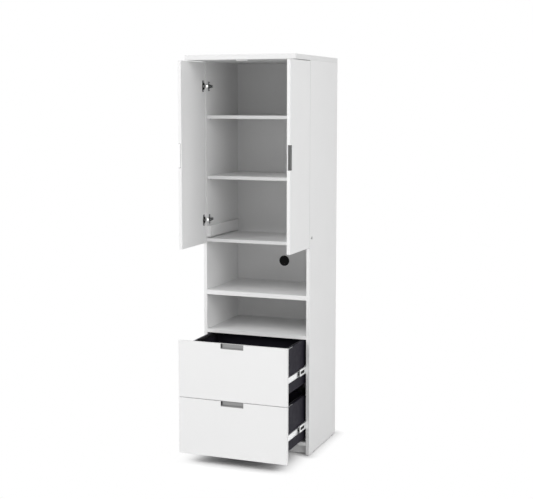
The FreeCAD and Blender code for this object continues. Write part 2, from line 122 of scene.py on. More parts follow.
# 1 for rays from the camera, a mirror or glass, and 0 for the light itself
def seenByEye(tree):
    path = tree.nodes.new("ShaderNodeLightPath").outputs
    shiny = mathNode(tree, "MAXIMUM", path["Is Glossy Ray"], path["Is Transmission Ray"])
    return mathNode(tree, "MAXIMUM", path["Is Camera Ray"], shiny)


def mixShaders(tree, factor, first, second):
    mix = tree.nodes.new("ShaderNodeMixShader")
    tree.links.new(factor, mix.inputs[0])
    tree.links.new(first, mix.inputs[1])
    tree.links.new(second, mix.inputs[2])
    return mix.outputs[0]


def background(tree, strength):
    shader = tree.nodes.new("ShaderNodeBackground")
    shader.inputs["Color"].default_value = (1, 1, 1, 1)
    shader.inputs["Strength"].default_value = strength
    return shader.outputs[0]


def makeWorld(strength):
    world = bpy.data.worlds.new("studio")
    bpy.context.scene.world = world
    world.use_nodes = True
    tree = world.node_tree
    tree.nodes.clear()
    out = tree.nodes.new("ShaderNodeOutputWorld")
    lit = background(tree, strength)
    seen = background(tree, 1.0)
    tree.links.new(mixShaders(tree, seenByEye(tree), lit, seen), out.inputs["Surface"])


# distance from a zone = length of (max(|x - middle| - half, 0) / fade, the same for y), and the nearest
# zone counts. It is taken smoothly from 0 at the zone to 1 where the floor is plain white
def awayFromZones(tree, zones):
    coord = tree.nodes.new("ShaderNodeTexCoord")
    parts = tree.nodes.new("ShaderNodeSeparateXYZ")
    tree.links.new(coord.outputs["Object"], parts.inputs[0])
    nearest = None
    for zone in zones:
        squares = []
        for axis, middle, half, fade in zip("XY", *zone):
            offset = mathNode(tree, "ABSOLUTE", mathNode(tree, "SUBTRACT", parts.outputs[axis], middle))
            outside = mathNode(tree, "MAXIMUM", mathNode(tree, "SUBTRACT", offset, half), 0.0)
            squares.append(mathNode(tree, "POWER", mathNode(tree, "DIVIDE", outside, fade), 2.0))
        distance = mathNode(tree, "SQRT", mathNode(tree, "ADD", *squares))
        nearest = distance if nearest is None else mathNode(tree, "MINIMUM", nearest, distance)
    ramp = tree.nodes.new("ShaderNodeMapRange")
    ramp.interpolation_type = "SMOOTHSTEP"
    tree.links.new(nearest, ramp.inputs["Value"])
    return ramp.outputs["Result"]


def diffuse(tree, tone):
    shader = tree.nodes.new("ShaderNodeBsdfDiffuse")
    shader.inputs["Color"].default_value = (tone, tone, tone, 1)
    return shader.outputs[0]


def makeFloor(settings):
    half = settings["size"] / 2
    corners = [(-half, -half, 0), (half, -half, 0), (half, half, 0), (-half, half, 0)]
    mesh = bpy.data.meshes.new("floor")
    mesh.from_pydata(corners, [], [(0, 1, 2, 3)])
    floor = bpy.data.objects.new("floor", mesh)
    bpy.context.scene.collection.objects.link(floor)
    mat = bpy.data.materials.new("paleFloor")
    mat.use_nodes = True
    tree = mat.node_tree
    tree.nodes.clear()
    out = tree.nodes.new("ShaderNodeOutputMaterial")
    white = tree.nodes.new("ShaderNodeEmission").outputs[0]
    faded = mixShaders(tree, awayFromZones(tree, settings["zones"]), diffuse(tree, settings["seen"]), white)
    lit = diffuse(tree, settings["colour"])
    tree.links.new(mixShaders(tree, seenByEye(tree), lit, faded), out.inputs["Surface"])
    mesh.materials.append(mat)


bpy.context.scene.view_settings.view_transform = "Standard"
makeCamera(cameraSettings)
makeLamps(lampSettings, lampSide)
makeWorld(worldStrength)
makeFloor(floorSettings)
print("camera, lamps and floor made")


noiseMiddle = (0.25, 0.75)                # where most of a noise pattern's values lie
leastRough = 0.02


# a material built up node by node on a Principled shader, with patterns in object coordinates
class Finish:

    def __init__(self, name, colour, rough, metal=0.0, gloss=0.5):
        self.mat = bpy.data.materials.new(name)
        self.mat.use_nodes = True
        self.tree = self.mat.node_tree
        self.shader = self.tree.nodes["Principled BSDF"]
        self.shader.inputs["Base Color"].default_value = (*colour, 1)
        self.shader.inputs["Roughness"].default_value = rough
        self.shader.inputs["Metallic"].default_value = metal
        self.shader.inputs["Specular IOR Level"].default_value = gloss
        self.colour = colour
        self.rough = rough

    def link(self, a, b):
        self.tree.links.new(a, b)

    def noise(self, scale, stretch=(1, 1, 1), detail=3.0):
        coord = self.tree.nodes.new("ShaderNodeTexCoord")
        mapping = self.tree.nodes.new("ShaderNodeMapping")
        mapping.inputs["Scale"].default_value = stretch
        texture = self.tree.nodes.new("ShaderNodeTexNoise")
        texture.inputs["Scale"].default_value = scale
        texture.inputs["Detail"].default_value = detail
        self.link(coord.outputs["Object"], mapping.inputs["Vector"])
        self.link(mapping.outputs["Vector"], texture.inputs["Vector"])
        return texture.outputs["Fac"]

    # the middle of a noise taken to a range
    def spread(self, pattern, low, high):
        ramp = self.tree.nodes.new("ShaderNodeMapRange")
        for socket, value in zip(("From Min", "From Max", "To Min", "To Max"), (*noiseMiddle, low, high)):
            ramp.inputs[socket].default_value = value
        self.link(pattern, ramp.inputs["Value"])
        return ramp.outputs["Result"]

    def varyColour(self, pattern, amount):
        mix = self.tree.nodes.new("ShaderNodeMix")
        mix.data_type = "RGBA"
        mix.inputs["A"].default_value = (*(c * (1 - amount) for c in self.colour), 1)
        mix.inputs["B"].default_value = (*self.colour, 1)
        self.link(self.spread(pattern, 0.0, 1.0), mix.inputs["Factor"])
        self.link(mix.outputs["Result"], self.shader.inputs["Base Color"])

    def varyRough(self, pattern, amount):
        low = max(leastRough, self.rough - amount)
        self.link(self.spread(pattern, low, self.rough + amount), self.shader.inputs["Roughness"])

    def bump(self, pattern, depth, strength):
        relief = self.tree.nodes.new("ShaderNodeBump")
        relief.inputs["Distance"].default_value = depth
        relief.inputs["Strength"].default_value = strength
        self.link(pattern, relief.inputs["Height"])
        self.link(relief.outputs["Normal"], self.shader.inputs["Normal"])


# satin white melamine: a very fine pearl texture under a soft sheen that changes a little
def whiteBoard(name, tone):
    look = Finish(name, (tone, tone, tone), 0.42)
    look.varyColour(look.noise(3.0, (1, 1, 0.4)), 0.012)
    look.varyRough(look.noise(9.0), 0.05)
    look.bump(look.noise(900.0, detail=1.0), 0.00004, 0.35)
    return look.mat


# fine brush lines, and a cloudier tone across them
def brushedAluminium():
    look = Finish("brushedAluminium", (0.33, 0.33, 0.33), 0.36, metal=1.0)
    grain = look.noise(60.0, (1, 1, 40), detail=4.0)
    look.varyColour(grain, 0.18)
    look.varyRough(grain, 0.08)
    look.bump(grain, 0.00003, 0.5)
    return look.mat


# the closed ends of the finger pulls, in a darker copy of the aluminium: painted shade for the ends of the
# recess
def paintedShadeAluminium():
    look = Finish("paintedShadeAluminium", (0.10, 0.10, 0.10), 0.42, metal=1.0)
    grain = look.noise(70.0, (1, 1, 40), detail=4.0)
    look.varyColour(grain, 0.15)
    look.varyRough(grain, 0.06)
    return look.mat


# the hinges' pressed steel, its base colour darkened as a painted reflection of the dark inside of the
# armoire
def paintedReflectionNickel():
    look = Finish("paintedReflectionNickel", (0.20, 0.20, 0.20), 0.22, metal=1.0)
    look.varyColour(look.noise(40.0), 0.10)
    look.varyRough(look.noise(70.0), 0.06)
    look.bump(look.noise(500.0), 0.00002, 0.3)
    return look.mat


# the polished nose of a hinge, in a far brighter copy of the hinges' nickel: a painted highlight
def paintedHighlightNickel():
    look = Finish("paintedHighlightNickel", (0.98, 0.98, 0.97), 0.14, metal=1.0)
    look.varyColour(look.noise(60.0), 0.05)
    look.varyRough(look.noise(90.0), 0.05)
    return look.mat


# rolled strip: long soft streaks along the slide
def slideSteel():
    look = Finish("slideSteel", (0.96, 0.965, 0.97), 0.36, metal=1.0)
    roll = look.noise(90.0, (1, 0.05, 1))
    look.varyColour(roll, 0.08)
    look.varyRough(roll, 0.08)
    look.bump(roll, 0.00002, 0.4)
    return look.mat


# zinc plating with its small spangle
def zincSteel():
    look = Finish("zincSteel", (0.62, 0.63, 0.65), 0.30, metal=1.0)
    look.varyColour(look.noise(120.0), 0.12)
    look.varyRough(look.noise(160.0), 0.08)
    return look.mat


# anthracite film on fibreboard with a fine leather-like emboss
def darkBoard():
    look = Finish("darkBoard", (0.020, 0.0183, 0.0260), 0.55, gloss=0.06)
    look.varyColour(look.noise(14.0), 0.15)
    look.varyRough(look.noise(30.0), 0.07)
    look.bump(look.noise(700.0, detail=2.0), 0.00008, 0.5)
    return look.mat


# moulded plastic or powder coat with a fine matt grain
def plastic(name, colour, rough, gloss=0.5):
    look = Finish(name, colour, rough, gloss=gloss)
    look.varyColour(look.noise(25.0), 0.05)
    look.varyRough(look.noise(60.0), 0.05)
    look.bump(look.noise(900.0), 0.00003, 0.4)
    return look.mat


# long grain along the dowels
def beech():
    look = Finish("beech", (0.55, 0.38, 0.22), 0.55)
    look.varyColour(look.noise(35.0, (0.15, 1, 1)), 0.25)
    look.bump(look.noise(60.0, (0.15, 1, 1)), 0.0001, 0.5)
    return look.mat


finishes = {
    "white_board": whiteBoard("whiteBoard", 0.76),
    "brushed_aluminium": brushedAluminium(),
    # the hinges' nickel is darkened: a painted reflection of the armoire's dark inside
    "nickel_hinge": paintedReflectionNickel(),
    "zinc_steel": zincSteel(),
    "slide_steel": slideSteel(),
    "drawer_board": darkBoard(),
    "black_plastic": plastic("blackPlastic", (0.006, 0.006, 0.006), 0.50, gloss=0.12),
    "black_steel": plastic("blackSteel", (0.014, 0.014, 0.015), 0.40),
    "white_plastic": plastic("whitePlastic", (0.78, 0.78, 0.78), 0.38),
    "beech": beech(),
}
# finishes that a slot has beside its own
# the hinge noses' brighter copy of the nickel, a painted highlight
paintedHighlightNose = paintedHighlightNickel()
# the pull ends' darker copy of the aluminium, painted shade
paintedShadePullEnd = paintedShadeAluminium()
# a darker copy of the white board for the top panel: painted shade, as its front and side faces catch more
# light than the rest
paintedShadeTopBoard = whiteBoard("paintedShadeTopBoard", 0.715)

slotOf = {p["node"]: p["material_slot"] for p in frame["record"]["subparts"]}
# the top panel takes the darker copy of the white board, painted shade
for name, ob in nodes.items():
    ob.data.materials.clear()
    ob.data.materials.append(paintedShadeTopBoard if name == "top_panel" else finishes[slotOf[name]])
print("finishes set on", len(nodes), "nodes")


# where a node begins and ends along an axis, in millimetres
def starts(node, axis):
    return round(min(corner["xyz".index(axis)] for corner in nodes[node].bound_box) / mm, 3)


def ends(node, axis):
    return round(max(corner["xyz".index(axis)] for corner in nodes[node].bound_box) / mm, 3)


def middleOf(node, axis):
    return (starts(node, axis) + ends(node, axis)) / 2


def lengthOf(node, axis):
    return ends(node, axis) - starts(node, axis)


levels = ("lower", "upper")
innerSide = ends("left_side_panel", "x")
boxSide = starts("lower_box_left_side", "x")
xAxis, yAxis, zAxis = np.eye(3)
# where an outline runs straight on, these two keep zero out of a division
leastLength, leastTurn = 1e-9, 1e-6
# a turned piece keeps this radius at a pole, and one face closes it there
poleRadius = 0.05
creaseAngle = math.radians(38)
bevelSegments = 2


# each corner of a closed outline becomes an arc: for an inner angle 2a and radius r, the arc begins
# r / tan(a) from the corner and its middle lies r / sin(a) along the bisector; points on it turn evenly
# from side to side, and a corner with no radius keeps its one point
def rounded(corners, radii, steps=5):
    corners = np.asarray(corners, float)
    radii = np.broadcast_to(np.asarray(radii, float), len(corners))
    back = np.roll(corners, 1, 0) - corners
    fore = np.roll(corners, -1, 0) - corners
    back /= np.linalg.norm(back, axis=1)[:, None]
    fore /= np.linalg.norm(fore, axis=1)[:, None]
    half = np.arccos(np.clip((back * fore).sum(1), -1, 1)) / 2
    toward = (back + fore) / np.maximum(np.linalg.norm(back + fore, axis=1), leastLength)[:, None]
    middle = corners + toward * (radii / np.sin(half))[:, None]
    reach = (radii / np.tan(half))[:, None]
    first = (corners + back * reach - middle)[:, None]
    last = (corners + fore * reach - middle)[:, None]
    turn = np.maximum(np.pi - 2 * half, leastTurn)[:, None, None]
    t = np.linspace(0, 1, steps)[None, :, None]
    arc = (np.sin((1 - t) * turn) * first + np.sin(t * turn) * last) / np.sin(turn)
    keep = (radii[:, None] > 0) | (np.arange(steps) == 0)
    return (middle[:, None] + arc)[keep]


# an outline of (a, b) points carried straight along c: point = (a, b, c)
def carried(outline, stations):
    outline = np.asarray(outline, float)
    stations = np.asarray(stations, float)
    rows = np.empty((len(stations), len(outline), 3))
    rows[..., :2] = outline
    rows[..., 2] = stations[:, None]
    return rows


# a profile of (radius, height) points turned about the c axis: point = (r cos t, r sin t, h)
def turned(profile, steps):
    profile = np.asarray(profile, float)
    t = np.linspace(0, 2 * np.pi, steps, endpoint=False)
    r, h = profile[:, :1], profile[:, 1:]
    return np.stack([r * np.cos(t), r * np.sin(t), h + 0 * t], -1)


# a grid turned inside out has a volume below zero: six times the volume is the sum of a . (b x c) over the
# triangles of its quads, once each open end is closed to the middle of its row
def insideOut(rows, ring):
    if ring:
        grid = np.concatenate([rows, rows[:1]])
    else:
        first, last = (np.repeat(row.mean(0)[None, None], len(row), 1) for row in (rows[0], rows[-1]))
        grid = np.concatenate([first, rows, last])
    a, d = grid[:-1], grid[1:]
    b, c = np.roll(a, -1, 1), np.roll(d, -1, 1)
    return (a * np.cross(b, c)).sum() + (a * np.cross(c, d)).sum() < 0


# joins the rows of a grid into faces that point outwards; every row is a closed loop. A ring's last row
# meets its first row, and otherwise the first and the last row are each closed with one face. A gap is a
# window between two rows: the quads at its outer and inner column are left out, and four walls join their
# edges
def faceList(rows, ring, gaps, start):
    rowCount, inRow = rows.shape[:2]
    i, j = np.meshgrid(np.arange(rowCount if ring else rowCount - 1), np.arange(inRow), indexing="ij")
    i2, j2 = (i + 1) % rowCount, (j + 1) % inRow
    quads = start + np.stack([i * inRow + j, i * inRow + j2, i2 * inRow + j2, i2 * inRow + j], -1)
    keep = np.ones(quads.shape[:2], bool)
    walls = []
    for row, outer, inner in gaps:
        keep[row, outer] = keep[row, inner] = False
        a, b, c, d = quads[row, outer]
        e, f, g, h = quads[row, inner]
        walls += [[a, b, e, f], [b, c, h, e], [c, d, g, h], [d, a, f, g]]
    faces = quads[keep].tolist() + np.array(walls).tolist()
    if not ring:
        firstRow = start + np.arange(inRow)
        lastRow = firstRow + (rowCount - 1) * inRow
        faces += [firstRow[::-1].tolist(), lastRow.tolist()]
    return [face[::-1] for face in faces] if insideOut(rows, ring) else faces


# takes rows in their own millimetre axes to the frame: origin + a * across + b * along + c * out
def placed(rows, origin, across, along, out):
    return rows @ np.array([across, along, out], float) + origin


def mirrored(rows):
    return rows * (-1.0, 1.0, 1.0)


def bothSides(shells):
    return shells + [mirrored(rows) for rows in shells]


# one object from closed shells, each given as rows, or as (rows, ring, gaps); softEdge is the bevel's width
def makePiece(name, body, slot, shells, replaced=(), softEdge=0.0, finish=None):
    points, faces, count = [], [], 0
    for shell in shells:
        rows, ring, gaps = shell if isinstance(shell, tuple) else (shell, False, ())
        faces += faceList(rows, ring, gaps, count)
        points.append(rows.reshape(-1, 3) * mm)
        count += len(points[-1])
    mesh = bpy.data.meshes.new(name)
    mesh.from_pydata(np.concatenate(points).tolist(), [], faces)
    mesh.shade_smooth()
    mesh.set_sharp_from_angle(angle=creaseAngle)
    mesh.materials.append(finish or finishes[slot])
    ob = bpy.data.objects.new(name, mesh)
    bpy.context.scene.collection.objects.link(ob)
    if softEdge:
        bevel = ob.modifiers.new("softEdge", "BEVEL")
        bevel.width = softEdge * mm
        bevel.segments = bevelSegments
        bevel.limit_method = "ANGLE"
        bevel.angle_limit = creaseAngle
    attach(ob, body)
    if replaced:
        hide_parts(*replaced)


screw = {
    "radius": 3.4, "height": 1.6, "shank": 1.5, "length": 10.0, "point": 1.5,
    "rimShare": 0.35,                      # of the head's height, before the dome begins
    "crossWidth": 1.0, "crossReach": 2.2, "crossDepth": 0.9, "crossEdge": 0.3,
    "rings": 12, "steps": 40, "innerShare": 0.01,
}


# a soft step from 0 to 1: x^2 (3 - 2x)
def smooth(x):
    x = np.clip(x, 0, 1)
    return x * x * (3 - 2 * x)


# head height at (r, t) = rim + (height - rim) * sqrt(1 - (r / radius)^2) - depth * cross,
# where the cross is 1 within half its width of either axis and within its reach, with soft edges
def screwRows(size, scale=1.0):
    t = np.linspace(0, 2 * np.pi, size["steps"], endpoint=False)
    share = np.linspace(1, size["innerShare"], size["rings"])[:, None]
    r = size["radius"] * share
    x, y = r * np.cos(t), r * np.sin(t)
    rim = size["rimShare"] * size["height"]
    dome = rim + (size["height"] - rim) * np.sqrt(1 - share**2)
    fromAxis = np.minimum(abs(x), abs(y))
    inWidth = smooth((size["crossWidth"] / 2 - fromAxis) / size["crossEdge"] + 0.5)
    inReach = smooth((size["crossReach"] - r) / size["crossEdge"])
    head = np.stack([x, y, dome - size["crossDepth"] * inWidth * inReach], -1)
    below = turned([
        (poleRadius, -size["length"]), (size["shank"], -size["length"] + size["point"]),
        (size["shank"], 0.0), (size["radius"], 0.0),
    ], size["steps"])
    return np.concatenate([below, head]) * scale


# screws at (a, b) places in the plane of across and along
def screwsAt(origin, across, along, out, places, scale=1.0):
    rows = screwRows(screw, scale)
    return [placed(rows + (a, b, 0), origin, across, along, out) for a, b in places]


hinge = {
    "heights": (1256.0, 1974.0),           # floor to the middle of each hinge
    "cupMiddle": (ends("left_door_panel", "x"), -91.25),      # on the open door's inner face
    "cupRadius": 17.5, "cupDepth": 12.5, "wall": 0.8, "cupBottomRound": 3.0,
    "rim": 19.0, "flange": 1.0, "flangeEdge": 0.35,
    "dishLip": ((0.9, 0.0), (0.3, 0.2), (0.0, 0.8)),          # steps into the dish: outwards, down
    "boss": (7.0, 6.0, 0.6),               # on the dish's floor: outer radius, top radius, height
    "bendShare": 0.3,                      # where a bend's middle point lies, as a share of the bend
    "pole": 0.1,                           # a cup and a plate keep this radius in their middle
    # a flat plate's reach from its middle, across to one side and the other, and half its height
    "cupWing": (-5.0, 17.0, 30.0), "cupSharp": 12.0,
    "cupScrewOffset": 6.0, "cupScrewSpacing": 48.0,
    "plateWing": (-6.5, 6.5, 25.5), "plateSpine": (-15.0, 35.0, 6.0), "plateSharp": 10.0,
    "plateY": -25.25, "plateThickness": 2.2, "plateEdge": 0.6, "plateFoot": (0.15, 0.2),
    "plateScrewSpacing": 32.0,
    "adjusters": (-9.25, -41.0), "adjusterScale": 0.8,
}


# length of a ray from the middle to the edge of a plate with round corners: 1 / (across^n + up^n)^(1/n),
# where across and up are the ray's reach per millimetre to each side, and n is large
def rayLength(t, near, far, half, sharp):
    across = np.cos(t) / np.where(np.cos(t) > 0, far, near)
    up = abs(np.sin(t)) / half
    return (across**sharp + up**sharp) ** (-1 / sharp)


# evenly spread rays, and one through each corner; rays that agree to so many decimals count once
def rays(plates, steps=72, decimals=5):
    corners = [math.atan2(side * half, a) % (2 * math.pi)
               for near, far, half in plates for a in (near, far) for side in (-1, 1)]
    even = np.linspace(0, 2 * np.pi, steps, endpoint=False)
    return np.unique(np.round(np.concatenate([even, corners]), decimals))


# every ray follows one walk: a step is (on the outline?, radius or inset from the outline, height)
def rayRows(t, outline, walk):
    onEdge = np.array([step[0] for step in walk], bool)[:, None]
    r = np.array([step[1] for step in walk])[:, None]
    h = np.array([step[2] for step in walk])[:, None] + 0 * t
    r = np.where(onEdge, outline - r, r + 0 * t)
    return np.stack([r * np.cos(t), r * np.sin(t), h], -1)


# the walk goes under the dish, up its outside, out under the flange, round its edge, back over it and into
# the dish, and ends on the boss in its middle
def cupRows(size):
    t = rays([size["cupWing"]])
    wings = rayLength(t, *size["cupWing"], size["cupSharp"])
    outer, inner = size["cupRadius"], size["cupRadius"] - size["wall"]
    deep, dish = -size["cupDepth"], -size["cupDepth"] + size["wall"]
    bend, top, edge = size["cupBottomRound"], size["flange"], size["flangeEdge"]
    share, (bossFoot, bossTop, bossHeight) = size["bendShare"], size["boss"]
    walk = [
        (0, size["pole"], deep), (0, outer - bend, deep), (0, outer - share * bend, deep + share * bend),
        (0, outer, deep + bend), (0, outer, 0.0),
        (1, edge, 0.0), (1, 0.0, edge), (1, 0.0, top - edge), (1, edge, top),
        *((0, inner + outwards, top - down) for outwards, down in size["dishLip"]),
        (0, inner, dish + bend), (0, inner - share * bend, dish + share * bend), (0, inner - bend, dish),
        (0, bossFoot, dish), (0, bossTop, dish + bossHeight), (0, size["pole"], dish + bossHeight),
    ]
    return rayRows(t, np.maximum(size["rim"], wings), walk)


# a cross of two plates: the farther edge counts on every ray
def plateRows(size):
    wing, spine = size["plateWing"], size["plateSpine"]
    t = rays([wing, spine])
    outline = np.maximum(rayLength(t, *wing, size["plateSharp"]), rayLength(t, *spine, size["plateSharp"]))
    top, edge, share = size["plateThickness"], size["plateEdge"], size["bendShare"]
    footIn, footUp = size["plateFoot"]
    walk = [
        (0, size["pole"], 0.0), (1, footIn, 0.0), (1, 0.0, footUp), (1, 0.0, top - edge),
        (1, share * edge, top - share * edge), (1, edge, top), (0, size["pole"], top),
    ]
    return rayRows(t, outline, walk)


arm = {
    # way along the arm, from its back end to its nose: y, top and bottom over the side panel, half width
    "way": ((5.75, 9.8, 2.2, 5.4), (3.2, 12.0, 2.2, 5.8), (-2.2, 13.8, 2.2, 6.2), (-12.0, 14.0, 2.2, 7.0),
            (-30.0, 14.0, 2.2, 8.6), (-46.0, 13.8, 2.2, 8.6), (-54.0, 13.0, 2.2, 7.4),
            (-62.0, 11.4, 1.4, 5.6), (-68.0, 9.0, 1.0, 5.0)),
    "stations": 36, "wall": 1.4, "outerRound": 2.2, "innerRound": 0.8, "roundSteps": 5,
}


# a folded U over the plate. Its section's points are sign * (half width - inset) across, and top - drop or
# the bottom in height; a round corner has inset r (1 - cos u) and drop r (1 - sin u)
def armRows(size):
    way = np.array(size["way"])[::-1]
    y = np.linspace(way[0, 0], way[-1, 0], size["stations"])
    top, low, half = (np.interp(y, way[:, 0], way[:, k])[:, None] for k in (1, 2, 3))
    u = np.linspace(0, np.pi / 2, size["roundSteps"])

    def corner(wall, r):
        return wall + r * (1 - np.cos(u)), wall + r * (1 - np.sin(u))

    outerIn, outerDrop = corner(0.0, size["outerRound"])
    innerIn, innerDrop = corner(size["wall"], size["innerRound"])
    foot = np.zeros(1)
    innerFoot = foot + size["wall"]
    inset = np.concatenate([
        foot, outerIn, outerIn[::-1], foot, innerFoot, innerIn, innerIn[::-1], innerFoot,
    ])
    drop = np.concatenate([
        foot, outerDrop, outerDrop[::-1], foot, foot, innerDrop, innerDrop[::-1], foot,
    ])
    bends = [1] * 2 * len(u)
    atTop = np.array([0] + bends + [0, 0] + bends + [0], bool)
    side = np.array([-1] * (len(u) + 1) + [1] * 2 * (len(u) + 1) + [-1] * (len(u) + 1))
    across = side * (half - inset)
    height = np.where(atTop, top - drop, low)
    return np.stack([height, np.repeat(y[:, None], len(side), 1), across], -1)


nose = {
    "middle": (8.0, -68.8),                # over the side panel, and y
    "turn": math.radians(27), "wide": 8.0, "thick": 5.0, "tall": 8.5,
    "square": 3.2, "crown": 0.35,
    "rings": 19, "steps": 36,
    "poleShare": 0.995,                    # of a quarter turn, where the poles are closed
}


# the nose over the links, a crowned block: its section is |a / wide|^n + |b / thick|^n = 1, scaled by
# cos(u)^p at the height tall * sin(u), from pole to pole
def noseRows(size):
    u = (np.linspace(-size["poleShare"], size["poleShare"], size["rings"]) * np.pi / 2)[:, None]
    t = np.linspace(0, 2 * np.pi, size["steps"], endpoint=False)
    n = size["square"]
    reach = (abs(np.cos(t)) ** n + abs(np.sin(t)) ** n) ** (-1 / n)
    a, b = size["wide"] * reach * np.cos(t), size["thick"] * reach * np.sin(t)
    across, deep = math.cos(size["turn"]), math.sin(size["turn"])
    scale = np.cos(u) ** size["crown"]
    x, y = scale * (a * across - b * deep), scale * (a * deep + b * across)
    return np.stack([x + size["middle"][0], y + size["middle"][1], size["tall"] * np.sin(u) + 0 * x], -1)


def makeHinges(size):
    cups, cupScrews, plates, plateScrews, arms, noses, adjusters = [], [], [], [], [], [], []
    armTop = max(station[1] for station in arm["way"])
    doorFace, cupY = size["cupMiddle"]
    onDoor, onSide = (-yAxis, zAxis, xAxis), (yAxis, zAxis, xAxis)
    for z in size["heights"]:
        cups.append(placed(cupRows(size), (doorFace, cupY, z), *onDoor))
        spots = [(size["cupScrewOffset"], side * size["cupScrewSpacing"] / 2) for side in (-1, 1)]
        cupScrews += screwsAt((doorFace + size["flange"], cupY, z), *onDoor, spots)
        plates.append(placed(plateRows(size), (innerSide, size["plateY"], z), *onSide))
        spots = [(0.0, side * size["plateScrewSpacing"] / 2) for side in (-1, 1)]
        plateScrews += screwsAt((innerSide + size["plateThickness"], size["plateY"], z), *onSide, spots)
        arms.append(armRows(arm) + (innerSide, 0, z))
        noses.append(noseRows(nose) + (innerSide, 0, z))
        spots = [(y, 0.0) for y in size["adjusters"]]
        adjusters += screwsAt((innerSide + armTop, 0.0, z), *onSide, spots, size["adjusterScale"])
    for side, turn in (("left", np.copy), ("right", mirrored)):
        door = side + "_door"
        makePiece(side + "HingeCups", door, "nickel_hinge", [turn(r) for r in cups], [side + "_hinge_cups"])
        makePiece(side + "HingeScrews", door, "zinc_steel", [turn(r) for r in cupScrews],
                  [side + "_hinge_screws"])
        makePiece(side + "HingeArms", "carcass", "nickel_hinge", [turn(r) for r in arms],
                  [side + "_hinge_arms"])
        # the noses take the brighter copy of the nickel: a painted highlight
        makePiece(side + "HingeNoses", "carcass", "nickel_hinge", [turn(r) for r in noses],
                  finish=paintedHighlightNose)
    makePiece("hingePlates", "carcass", "nickel_hinge", bothSides(plates), ["hinge_plates"])
    makePiece("plateScrews", "carcass", "zinc_steel", bothSides(plateScrews), ["plate_screws"])
    makePiece("hingeAdjusters", "carcass", "zinc_steel", bothSides(adjusters))


makeHinges(hinge)
print("hinges made")

pull = {
    "length": 126.0, "depth": 26.0, "reach": 13.0, "lip": 5.0, "sheet": 2.0,
    "outerBend": 1.9, "innerBend": 0.5, "edge": 0.35, "endPlate": 1.2, "softEdge": 0.12,
}


# section in (a from the recess's end, b from the outer face), with an end plate that closes it on each side
def pullShells(size):
    t, lip, top, back = size["sheet"], size["lip"], size["depth"], size["reach"]
    edge, inner, outer = size["edge"], size["innerBend"], size["outerBend"]
    section = rounded([
        (0, 0), (lip, 0), (lip, t), (t, t), (t, back - t), (top, back - t), (top, back), (0, back),
    ], (outer, edge, edge, inner, inner, edge, edge, outer))
    plate = rounded([(0, 0), (top, 0), (top, back), (0, back)], (outer, edge, edge, outer))
    thick = size["endPlate"]
    plates = [carried(plate, (0, thick)), carried(plate, (size["length"] - thick, size["length"]))]
    return [carried(section, (thick, size["length"] - thick))], plates


# each pull lies in its own recess: on a door it stands upright, on a drawer it lies across the front
def makePulls(size):
    body, plates = pullShells(size)
    recess = (starts("left_door_panel", "x"), ends("left_door_pull", "y"), starts("left_door_pull", "z"))
    onDoor = (recess, -yAxis, xAxis, zAxis)
    places = {"left_door": (onDoor, np.copy), "right_door": (onDoor, mirrored)}
    for level in levels:
        carrier = level + "_drawer"
        recess = (-size["length"] / 2, starts(carrier + "_front", "y"), starts(carrier + "_pull", "z"))
        places[carrier] = ((recess, zAxis, yAxis, xAxis), np.copy)
    for carrier, (place, turn) in places.items():
        name = carrier.replace("_d", "D") + "Pull"                # left_door becomes leftDoorPull
        makePiece(name, carrier, "brushed_aluminium", [turn(placed(r, *place)) for r in body],
                  [carrier + "_pull"], size["softEdge"])
        # the end plates take the darker copy of the aluminium: painted shade
        makePiece(name + "Ends", carrier, "brushed_aluminium", [turn(placed(r, *place)) for r in plates],
                  softEdge=size["softEdge"], finish=paintedShadePullEnd)


makePulls(pull)
print("pulls made")

slide = {
    "sheet": 1.2, "outerBend": 1.7, "innerBend": 0.5, "lipEdge": 0.35, "softEdge": 0.12,
    # member: web x, way it opens, depth, lip
    "cabinet": (innerSide, 1, 10.5, 3.6),
    "middle": (starts("lower_slide_middle_members", "x"), 1, 9.5, 3.1),
    "drawer": (boxSide, -1, 9.1, 1.2),
    "window": (11.0, 60.0, 16.0),          # from the middle member's front end: start, length, height
    "screwsAlong": (26.0, 148.0, 262.0, 362.0), "screwScale": 0.85,
    # the strip that holds the balls, seen through the middle member's window; it is black as painted shade
    # for the dark inside the channel
    "cageGap": 0.15, "cageThickness": 0.5, "cageHalf": 13.5, "cageReach": (8.0, 286.0), "cageRound": 0.2,
}


# section in (a from the web, b in height) of a C with rolled bends. Two more points on each face of the web
# mark the window; the columns where they begin, on the outer and the inner face, are given back too
def channelOutline(height, depth, lip, size, windowHeight):
    h, w, d, t = height / 2, windowHeight / 2, depth, size["sheet"]
    outside, inside, edge = size["outerBend"], size["innerBend"], size["lipEdge"]
    if lip > t:
        corners = [
            (0, -h), (d, -h), (d, -h + lip), (d - t, -h + lip), (d - t, -h + t), (t, -h + t),
            (t, h - t), (d - t, h - t), (d - t, h - lip), (d, h - lip), (d, h), (0, h),
        ]
        radii = [outside, outside, edge, edge, inside, inside]
    else:
        corners = [(0, -h), (d, -h), (d, -h + t), (t, -h + t), (t, h - t), (d, h - t), (d, h), (0, h)]
        radii = [outside, edge, edge, inside]
    start = len(radii)                     # the web's inner face begins halfway round
    corners = corners[:start] + [(t, -w), (t, w)] + corners[start:] + [(0, w), (0, -w)]
    radii = radii + [0, 0] + radii[::-1] + [0, 0]
    outline = rounded(corners, radii, steps=4)
    inner = int(np.flatnonzero(np.isclose(outline, (t, -w)).all(1))[0])
    outer = int(np.flatnonzero(np.isclose(outline, (0, w)).all(1))[0])
    return outline, outer, inner


